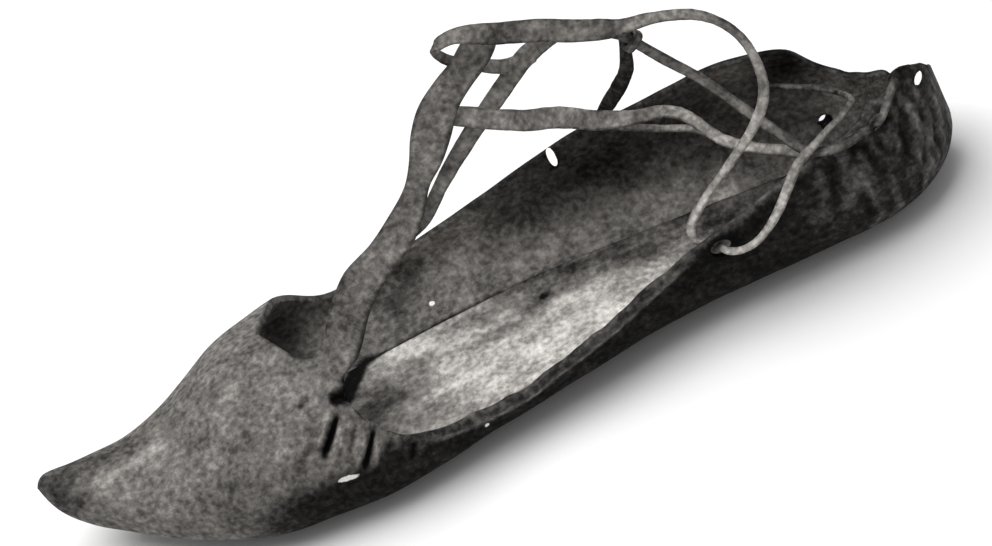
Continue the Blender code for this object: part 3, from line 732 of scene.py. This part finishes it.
def paintHide(piece, s, flesh):
    points = readPoints(piece) / mm
    x, y, z = points.T
    grain = np.full(len(points), s["vamp"])
    # painted shade: the near outer wall, which faces away from the lamp, and the lower wall at the front
    # are darkened
    wallShade = s["wallDepth"] * ease(x - s["wallSlant"] * z, *s["wallIn"]) * ease(y, *s["wallSide"])
    low = ease(z - s["lowSlant"] * x, *s["lowUnder"]) * ease(x, *s["lowIn"]) * ease(y, *s["lowSide"])
    wallShade = np.maximum(wallShade, s["lowDepth"] * low)
    grain += (s["paintedWallShade"] - grain) * wallShade
    heel = ease(x, *s["heelIn"])
    grain += (s["heel"] - grain) * np.maximum(heel, ease(x, *s["farIn"]) * ease(y, *s["farSide"]))
    fine, lean, tall = s["streakSize"]
    streak = np.array([noise.noise(Vector((a / fine + b / lean, b / fine, c / tall)))
                       for a, b, c in points])
    grain += s["streak"] * np.clip(streak, *s["streakLimits"]) * heel
    grain += (s["under"] - grain) * ease(z, *s["underBelow"])
    # painted light: the flesh side inside the throat is paler, to make up for the dim light there
    meat = s["flesh"] + (s["throat"] - s["flesh"]) * ease(x, *s["throatIn"])
    # painted shade on the far wall where it meets the floor
    meat -= s["seamDepth"] * seamShade(points, insoleSettings)
    tone = grain + (meat - grain) * flesh
    for face, middle, reach, change in s["spots"]:
        tone += change * softSpot(points, middle, reach) * np.where(face, flesh, 1.0 - flesh)
    # painted shade in the crease troughs and painted light on their ridges
    trough = np.clip(-creaseLift, 0.0, s["deepest"]) ** s["troughPower"]
    ridge = np.clip(creaseLift, 0.0, s["tallest"])
    tone += (s["ridge"] * ridge - s["trough"] * trough) * (1.0 - s["fleshFade"] * flesh)
    # painted light: the rolled lip along the near rim is paler, as its top is lit
    lip = ease(rimGap, *s["lipGap"]) * ease(x, *s["lipIn"]) * ease(x, *s["lipOut"])
    tone += (s["lip"] - tone) * lip
    rim = np.exp(-(rimGap / s["rimWidth"]) ** 2)
    rim += s["lining"] * np.exp(-((rimGap - s["liningGap"]) / s["liningWidth"]) ** 2) * flesh
    tone += (s["rim"] - tone) * rim * ease(x, *s["rimIn"]) * ease(x, *s["rimOut"])
    # painted shade: a dark line on the flesh side just inside the rim
    grooveShade = np.exp(-((rimGap - s["grooveGap"]) / s["grooveWidth"]) ** 2) * flesh
    tone -= s["grooveShade"] * grooveShade * ease(x, *s["grooveIn"]) * ease(x, *s["grooveOut"])
    toFrame = np.array((-lastSettings["length"] / 2, lastSettings["shift"], 0.0))
    strapLine = np.array(hideSettings["strapRows"])[:, :3] + toFrame
    gap, share = lineDistance(points, strapLine)
    onStrap = ease(gap, *s["strapReach"]) * ease(z, *s["strapAbove"])
    strapTone = s["strapRoot"] + (s["strap"] - s["strapRoot"]) * ease(share, *s["strapPales"])
    tone += (strapTone - tone) * onStrap
    storeMask(piece, "tone", tone)
    storeMask(piece, "edge", findEdges(piece, *s["edge"]))


paintHide(hide, hideTones, fleshShare)
print("hide painted")

# Thongs: their solids, welded and rounded, with tones that change along their lines
weldSettings = {
    "grid": 0.00034, "settle": 2, "settleShare": 0.5, "weld": 0.00001,
    "sway": 0.14, "swaySize": 6.0, "ripple": 0.07, "rippleSize": 2.2,  # how far from straight, in mm
    "blotch": 0.07, "blotchSize": 9.0, "edge": (8, 0.04, 0.14),
    "tailReach": (5.0, 2.6), "tailStart": (0.0, 0.06), "tails": [], "shades": [], "leans": [],
    "turnShifts": [],
}
thongSettings = {
    "instep_band": {
        "name": "instepBand", "tone": 0.46,
        # inside the near wall's hole, painted shade on the loop's middle, and the riser's pale face
        "shades": [((62.6, -24.4, 28.8), (3.2, 2.2, 3.2), -0.4), ((36, 12.5, 100), (9, 6, 6), -0.13),
                   ((16, 17, 75), (14, 8, 18), 0.09)],
        # the riser's end lies on the strap's back: place, reach and shift in mm
        "leans": [((-17.5, 2.0, 55.4), (14, 9, 9), (0.0, -0.66, 0.75))],
        # tone along each tail, then its points
        "tails": [
            ((0.48, 0.5, 0.5, 0.58, 0.66, 0.68, 0.66, 0.64, 0.58, 0.46, 0.4, 0.36),
             [(58, 11.5, 89.5), (73, 6.5, 89.6), (83, 0.5, 90.4), (93.6, -8.5, 79.4), (91, -14.5, 62),
              (74.5, -17, 47.2), (58.4, -20, 31), (69, -31, 27), (84, -29, 38.7), (100, -22.1, 46.2),
              (112.6, -15, 46.6), (108, 8.5, 35.2), (95, 23.5, 30.6)]),
            ((0.34, 0.4, 0.46, 0.46, 0.4, 0.32, 0.3),
             [(57, 11.8, 88.8), (63, 10.9, 84.6), (70.5, 8.5, 72.8), (85.5, -4.5, 54), (96.5, -20, 43.2),
              (117, -21, 41.6)]),
        ],
    },
    "side_strap": {"name": "sideStrap", "tone": 0.56},
    "tie_thong": {
        # painted shade: the tie thong's tones along its length are darker, as it lies in shade
        "name": "tieThong", "grid": 0.0003, "tone": 0.36,
        "tails": [((0.19, 0.18, 0.17, 0.18),
                   [(64.2, 13.6, 82.6), (60.8, 14.7, 68.0), (53.0, 21.9, 52.1), (49.0, 25.5, 44.4)])],
        # the piece that its upper end is wound on, and where, in mm
        "woundOn": "instep_band", "turnPlace": (65.2, 10.3, 81.2), "turnReach": 3.6,
        "turnRadius": 0.75, "turnGap": 0.3, "turnShifts": (-0.7, 0.7), "turnSquare": 0.6,
        "turnFaces": (48, 16),
    },
    "heel_lace": {"name": "heelLace", "tone": 0.4},
}


def layTurn(strap, shift, s):
    # one turn of thong round a strap, fitted to the strap's own section
    points = readPoints(strap) / mm
    near = points[np.linalg.norm(points - np.array(s["turnPlace"]), axis=1) < s["turnReach"]]
    middle = near.mean(axis=0)
    along, across, thin = np.linalg.svd(near - middle, full_matrices=False)[2]
    thin = np.cross(along, across)
    clear = s["turnGap"] + s["turnRadius"]
    half = [np.abs((near - middle) @ axis).max() + clear for axis in (across, thin)]
    ring = 4.0
    bpy.ops.object.select_all(action="DESELECT")
    around, section = s["turnFaces"]
    bpy.ops.mesh.primitive_torus_add(major_segments=around, minor_segments=section, major_radius=ring,
                                     minor_radius=s["turnRadius"])
    turn = bpy.context.object
    flat = readPoints(turn)
    spin = flat[:, :2] / np.linalg.norm(flat[:, :2], axis=1)[:, None]
    flat[:, :2] += np.sign(spin) * np.abs(spin) ** s["turnSquare"] * half - ring * spin
    flat[:, 2] += shift
    writePoints(turn, (middle + flat @ np.stack((across, thin, along))) * mm)
    return turn


def weldThong(node, s):
    piece = bpy.data.objects.new(s["name"], frame["nodes"][node].data.copy())
    bpy.context.scene.collection.objects.link(piece)
    piece.data.materials.clear()
    turns = [layTurn(thongs[s["woundOn"]], shift, s) for shift in s["turnShifts"]]
    makeActive(piece)
    for turn in turns:
        turn.select_set(True)
    bpy.ops.object.join()
    bpy.ops.object.mode_set(mode="EDIT")
    bpy.ops.mesh.select_all(action="SELECT")
    bpy.ops.mesh.remove_doubles(threshold=s["weld"])
    bpy.ops.object.mode_set(mode="OBJECT")
    applyModifier(piece, "REMESH", mode="VOXEL", voxel_size=s["grid"], use_smooth_shade=True)
    applyModifier(piece, "SMOOTH", factor=s["settleShare"], iterations=s["settle"])
    points = readPoints(piece) / mm
    for middle, reach, shift in s["leans"]:
        points += softSpot(points, middle, reach)[:, None] * np.array(shift)
    sway = s["sway"] * noiseAt(points, s["swaySize"], seed=8)
    sway += s["ripple"] * noiseAt(points, s["rippleSize"], seed=9)
    writePoints(piece, (points + readNormals(piece) * sway[:, None]) * mm)
    tone = np.full(len(points), s["tone"])
    for tones, line in s["tails"]:
        gap, share = lineDistance(points, line)
        along = np.interp(share, np.linspace(0.0, 1.0, len(tones)), tones)
        tone += (along - tone) * ease(gap, *s["tailReach"]) * ease(share, *s["tailStart"])
    for middle, reach, change in s["shades"]:
        tone += change * softSpot(points, middle, reach)
    tone += s["blotch"] * noiseAt(points, s["blotchSize"], seed=11)
    storeMask(piece, "tone", tone)
    storeMask(piece, "edge", findEdges(piece, *s["edge"]))
    print(s["name"] + ":", len(piece.data.polygons), "faces")
    return piece


thongs = {}
for node, settings in thongSettings.items():
    thongs[node] = weldThong(node, {**weldSettings, **settings})


# Leather: one grain and one tint for all pieces

def addNode(tree, kind, settings=None, **inputs):
    node = tree.nodes.new(kind)
    for key, value in (settings or {}).items():
        setattr(node, key, value)
    for key, value in inputs.items():
        socket = node.inputs[int(key[1:])] if key[0] == "i" and key[1:].isdigit() else node.inputs[key]
        if isinstance(value, bpy.types.NodeSocket):
            tree.links.new(value, socket)
        else:
            socket.default_value = value
    return node


def addGroup(name, inputs, outputs):
    tree = bpy.data.node_groups.new(name, "ShaderNodeTree")
    for direction, sockets in (("INPUT", inputs), ("OUTPUT", outputs)):
        for label, kind in sockets:
            tree.interface.new_socket(label, in_out=direction, socket_type="NodeSocket" + kind)
    return tree, tree.nodes.new("NodeGroupInput").outputs, tree.nodes.new("NodeGroupOutput").inputs


def addMath(tree, operation, first, second, third=0.0):
    node = addNode(tree, "ShaderNodeMath", {"operation": operation}, i0=first, i1=second, i2=third)
    return node.outputs[0]


grainSettings = {
    # scale, detail and roughness of each noise
    "spots": (560.0, 3.0, 0.5), "blotches": (120.0, 4.0, 0.6), "fibres": (2700.0, 2.0, 0.6),
    "spotRange": (0.32, 0.68), "blotchRange": (0.27, 0.73),
    "pebbles": 520.0, "pebbleRange": (0.0, 0.18), "pebbleWarp": 0.0014,
    "pebbleHeight": 0.5, "fibreHeight": 0.3,
}


def addRange(tree, value, given, made=(0.0, 1.0)):
    node = addNode(tree, "ShaderNodeMapRange", i0=value, i1=given[0], i2=given[1], i3=made[0], i4=made[1])
    return node.outputs[0]


def addNoise(tree, at, values):
    scale, detail, roughness = values
    node = addNode(tree, "ShaderNodeTexNoise", Vector=at, Scale=scale, Detail=detail, Roughness=roughness)
    return node.outputs


def makeGrain(s):
    # spots of about 2 mm, blotches of about a centimetre, and the height of pebbled grain and fibres
    tree, given, made = addGroup("leatherGrain", [("Vector", "Vector")],
                                 [("Speckle", "Float"), ("Mottle", "Float"), ("Height", "Float")])
    at = given["Vector"]
    spots = addNoise(tree, at, s["spots"])
    blotches = addNoise(tree, at, s["blotches"])
    fibres = addNoise(tree, at, s["fibres"])
    warped = addNode(tree, "ShaderNodeVectorMath", {"operation": "MULTIPLY_ADD"}, i0=spots["Color"],
                     i1=(s["pebbleWarp"],) * 3, i2=at)
    cells = addNode(tree, "ShaderNodeTexVoronoi", {"feature": "DISTANCE_TO_EDGE"},
                    Vector=warped.outputs[0], Scale=s["pebbles"])
    pebble = addRange(tree, cells.outputs["Distance"], s["pebbleRange"])
    speckle = addRange(tree, spots[0], s["spotRange"])
    mottle = addRange(tree, blotches[0], s["blotchRange"])
    rough = addMath(tree, "MULTIPLY_ADD", fibres[0], s["fibreHeight"], speckle)
    height = addMath(tree, "MULTIPLY_ADD", pebble, s["pebbleHeight"], rough)
    tree.links.new(speckle, made["Speckle"])
    tree.links.new(mottle, made["Mottle"])
    tree.links.new(height, made["Height"])
    return tree


tintSettings = {
    # the edge value is painted shade that darkens edges so that they look rounded
    "speckle": 0.5, "mottle": 0.5, "spread": 0.34, "leastSpread": 0.28, "edge": -0.17,
    "roughness": (0.58, 0.9), "roughTones": (0.0, 0.9), "coatTones": (0.05, 0.5),
    "stops": [
        (0.0, (0.003, 0.0028, 0.0026)), (0.15, (0.016, 0.0147, 0.0134)), (0.3, (0.064, 0.0592, 0.0546)),
        (0.45, (0.155, 0.1445, 0.1335)), (0.6, (0.297, 0.28, 0.261)), (0.8, (0.595, 0.572, 0.54)),
        (1.0, (0.89, 0.87, 0.835)),
    ],
}


def makeTint(s):
    # tone, cut edges and grain become a colour from near black through grey-brown to bone; darkening the
    # edges is painted shade
    inputs = [(name, "Float") for name in ("Tone", "Edge", "Speckle", "Mottle", "Gloss")]
    tree, given, made = addGroup("leatherTint", inputs,
                                 [("Color", "Color"), ("Roughness", "Float"), ("Coat", "Float")])
    spotted = addMath(tree, "MULTIPLY_ADD", given["Speckle"], s["speckle"], -0.5)
    pattern = addMath(tree, "MULTIPLY_ADD", given["Mottle"], s["mottle"], spotted)
    spread = addMath(tree, "MULTIPLY_ADD", given["Tone"], s["spread"], s["leastSpread"])
    grained = addMath(tree, "MULTIPLY_ADD", pattern, spread, given["Tone"])
    # painted shade: edges darkened so that they look rounded
    level = addMath(tree, "MULTIPLY_ADD", given["Edge"], s["edge"], grained)
    ramp = addNode(tree, "ShaderNodeValToRGB", Fac=level)
    for k, (place, colour) in enumerate(s["stops"]):
        stop = ramp.color_ramp.elements[k] if k < 2 else ramp.color_ramp.elements.new(place)
        stop.position = place
        stop.color = (*colour, 1.0)
    tree.links.new(ramp.outputs["Color"], made["Color"])
    tree.links.new(addRange(tree, grained, s["roughTones"], s["roughness"]), made["Roughness"])
    handled = addRange(tree, grained, s["coatTones"])
    tree.links.new(addMath(tree, "MULTIPLY", handled, given["Gloss"]), made["Coat"])
    return tree


grainGroup = makeGrain(grainSettings)
tintGroup = makeTint(tintSettings)


finishSettings = {
    "bumpDepth": 0.0004, "coatRoughness": 0.66, "specular": 0.04,
    "nicks": [], "nickColour": (0.82, 0.8, 0.76, 1.0), "nickRagged": 0.45, "nickEdge": (1.3, 1.0),
}
leatherSettings = {
    "hide_body": {
        "name": "hideLeather", "bump": 0.5, "coat": 0.55,
        # middle in mm, turn and half sizes of the pale nicks
        "nicks": [
            ((-58.7, -38.1, 20.0), (0.0, 0.1, -0.12), (2.8, 1.2, 0.8)),
            ((-17.1, -35.8, 13.4), (0, 0, 0), (0.7, 0.9, 0.7)),
            ((-17.1, 26.1, 4.6), (0, 0, 0), (0.9, 0.9, 0.9)),
        ],
    },
    "insole": {"name": "footbedLeather", "bump": 0.45, "coat": 0.5},
    "instep_band": {"name": "bandLeather", "bump": 0.35, "coat": 0.66},
    "side_strap": {"name": "strapLeather", "bump": 0.4, "coat": 0.62},
    "tie_thong": {"name": "tieLeather", "bump": 0.4, "coat": 0.58},
    "heel_lace": {"name": "laceLeather", "bump": 0.35, "coat": 0.64},
}


def makeLeather(s):
    material = bpy.data.materials.new(s["name"])
    material.use_nodes = True
    tree = material.node_tree
    shader = tree.nodes["Principled BSDF"]
    place = addNode(tree, "ShaderNodeTexCoord").outputs["Object"]
    grain = addNode(tree, "ShaderNodeGroup", {"node_tree": grainGroup}, Vector=place).outputs
    masks = {label: addNode(tree, "ShaderNodeAttribute", {"attribute_name": label}).outputs["Fac"]
             for label in ("tone", "edge")}
    tint = addNode(tree, "ShaderNodeGroup", {"node_tree": tintGroup}, Tone=masks["tone"],
                   Edge=masks["edge"], Speckle=grain["Speckle"], Mottle=grain["Mottle"],
                   Gloss=s["coat"]).outputs
    bump = addNode(tree, "ShaderNodeBump", Height=grain["Height"], Strength=s["bump"],
                   Distance=s["bumpDepth"])
    colour = tint["Color"]
    for middle, turn, half in s["nicks"]:
        spot = addNode(tree, "ShaderNodeMapping", {"vector_type": "TEXTURE"}, Vector=place,
                       Location=[v * mm for v in middle], Rotation=turn, Scale=[v * mm for v in half])
        far = addNode(tree, "ShaderNodeVectorMath", {"operation": "LENGTH"}, i0=spot.outputs[0])
        ragged = addMath(tree, "MULTIPLY_ADD", grain["Speckle"], s["nickRagged"], far.outputs["Value"])
        mark = addRange(tree, ragged, s["nickEdge"])
        colour = addNode(tree, "ShaderNodeMix", {"data_type": "RGBA"}, i0=mark, i6=colour,
                         i7=s["nickColour"]).outputs[2]
    tree.links.new(colour, shader.inputs["Base Color"])
    tree.links.new(tint["Roughness"], shader.inputs["Roughness"])
    tree.links.new(bump.outputs["Normal"], shader.inputs["Normal"])
    tree.links.new(tint["Coat"], shader.inputs["Coat Weight"])
    shader.inputs["Coat Roughness"].default_value = s["coatRoughness"]
    shader.inputs["Specular IOR Level"].default_value = s["specular"]
    return material


smoothAngle = math.radians(60.0)
for node, piece in {"hide_body": hide, "insole": insole, **thongs}.items():
    makeActive(piece)
    bpy.ops.object.shade_smooth_by_angle(angle=smoothAngle)
    piece.data.materials.append(makeLeather({**finishSettings, **leatherSettings[node]}))
    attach(piece, "root")
    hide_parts(node)
print("materials made")

# Floor and light: a pale sweep, one broad soft lamp above and behind, a weak fill
stageSettings = {
    "lamp": (-0.32, 0.36, 1.5), "power": 36.0, "size": 1.9, "fill": 0.36,
    "floor": (0.9, 0.9, 0.9, 1.0), "floorSize": 12.0, "floorRoughness": 0.9, "floorSpecular": 0.1,
}
bpy.ops.object.select_all(action="DESELECT")
bpy.ops.mesh.primitive_plane_add(size=stageSettings["floorSize"])
floor = bpy.context.object
floor.name = "floorStage"
paleFloor = bpy.data.materials.new("paleFloor")
paleFloor.use_nodes = True
floorShader = paleFloor.node_tree.nodes["Principled BSDF"]
floorShader.inputs["Base Color"].default_value = stageSettings["floor"]
floorShader.inputs["Roughness"].default_value = stageSettings["floorRoughness"]
floorShader.inputs["Specular IOR Level"].default_value = stageSettings["floorSpecular"]
floor.data.materials.append(paleFloor)
world = bpy.data.worlds.new("studio")
bpy.context.scene.world = world
world.use_nodes = True
world.node_tree.nodes["Background"].inputs["Color"].default_value = (1, 1, 1, 1)
world.node_tree.nodes["Background"].inputs["Strength"].default_value = stageSettings["fill"]
bpy.ops.object.light_add(type="AREA", location=stageSettings["lamp"])
lamp = bpy.context.object
lamp.name = "softLamp"
lamp.data.energy = stageSettings["power"]
lamp.data.size = stageSettings["size"]
lamp.rotation_euler = (-lamp.location).to_track_quat("-Z", "Y").to_euler()
print("stage lit")
